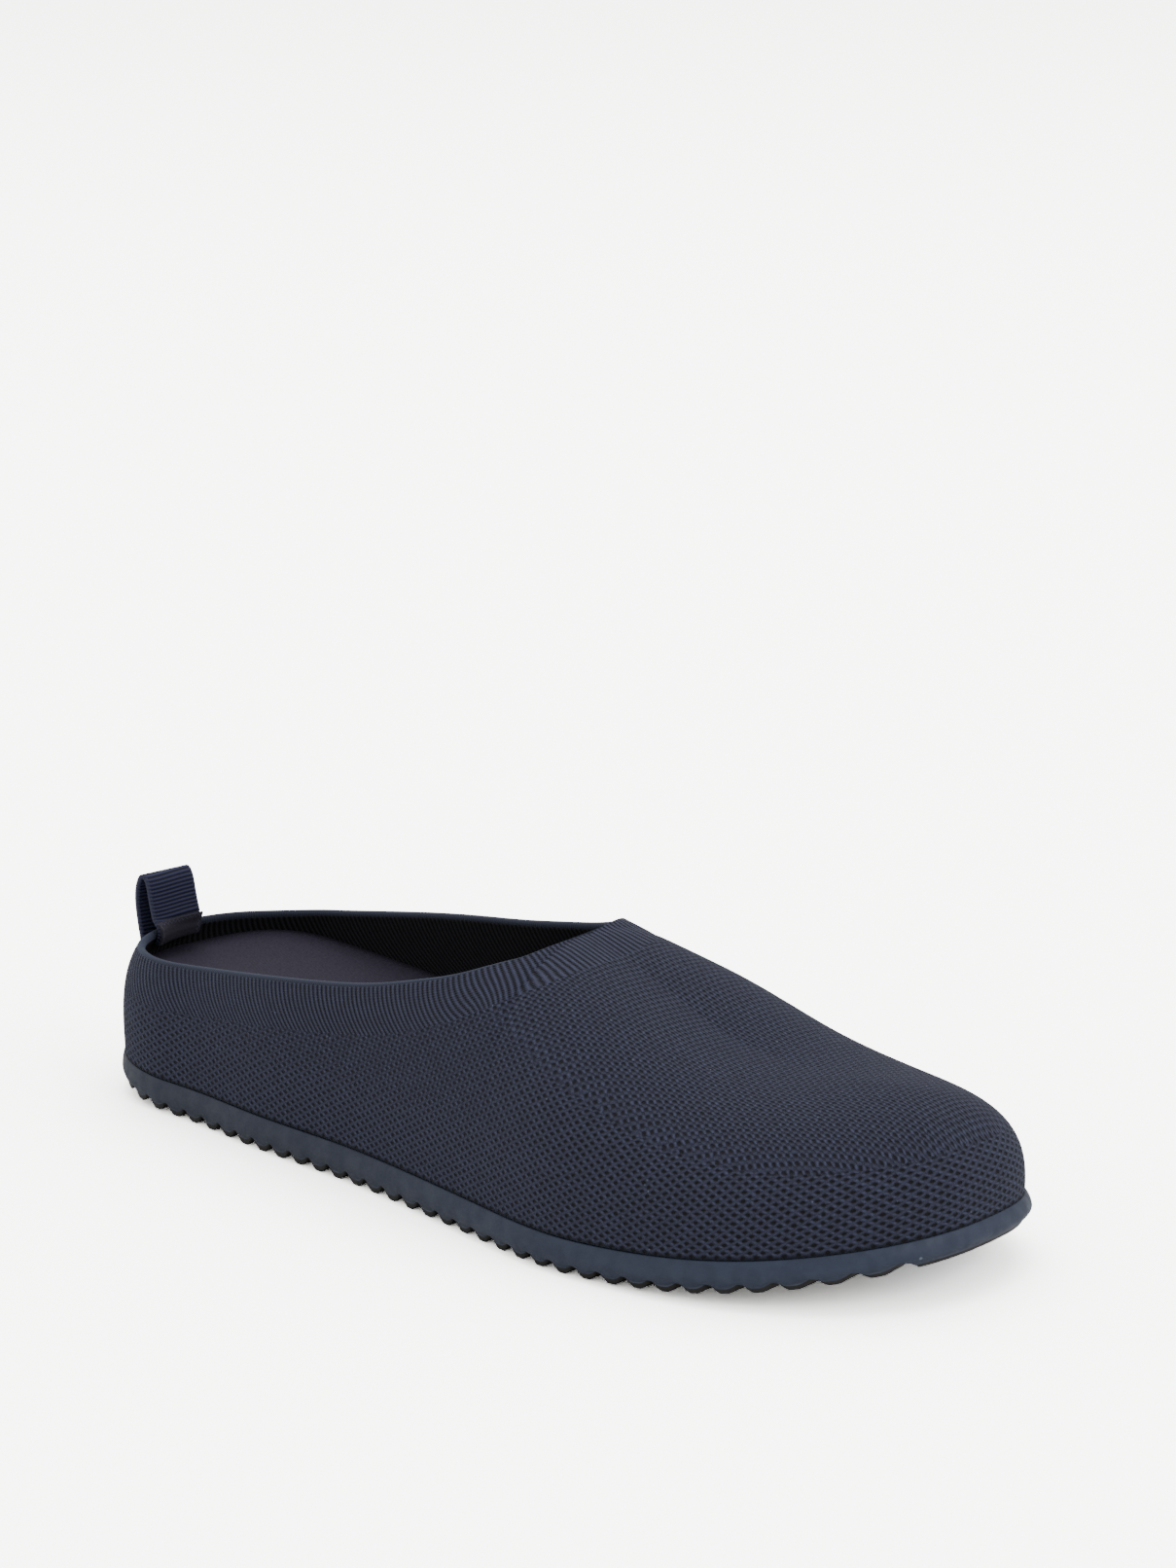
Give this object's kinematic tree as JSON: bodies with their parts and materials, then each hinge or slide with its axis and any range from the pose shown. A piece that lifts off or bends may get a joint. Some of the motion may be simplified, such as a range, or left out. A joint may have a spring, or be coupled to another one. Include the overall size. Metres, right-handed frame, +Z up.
{
  "type": "knitted slipper",
  "caption": "Low-backed slip-on for the right foot: a knitted upper closed over the toes, a cross-ribbed rubber sole, a thick cupped footbed and a ribbon pull loop at the heel",
  "frame": {"origin": "middle of the box round the shoe, on the floor under the sole's ribs", "axes": "+X to the toe, +Y to the inner (medial) side, +Z up"},
  "size_m": [0.2642, 0.098, 0.0638],
  "materials": {
    "sole_rubber": "matt, evenly moulded, faintly speckled",
    "knit": "matt pique knit with small staggered holes",
    "footbed_cloth": "matt fine twill",
    "ribbon": "ribbed ribbon with a low sheen",
    "heel_tape": "matt, napped"
  },
  "bodies": {
    "root": {"outsole": "sole_rubber", "upper": "knit", "insole": "footbed_cloth", "pull_loop": "ribbon", "heel_tape": "heel_tape"}
  },
  "joints": []
}
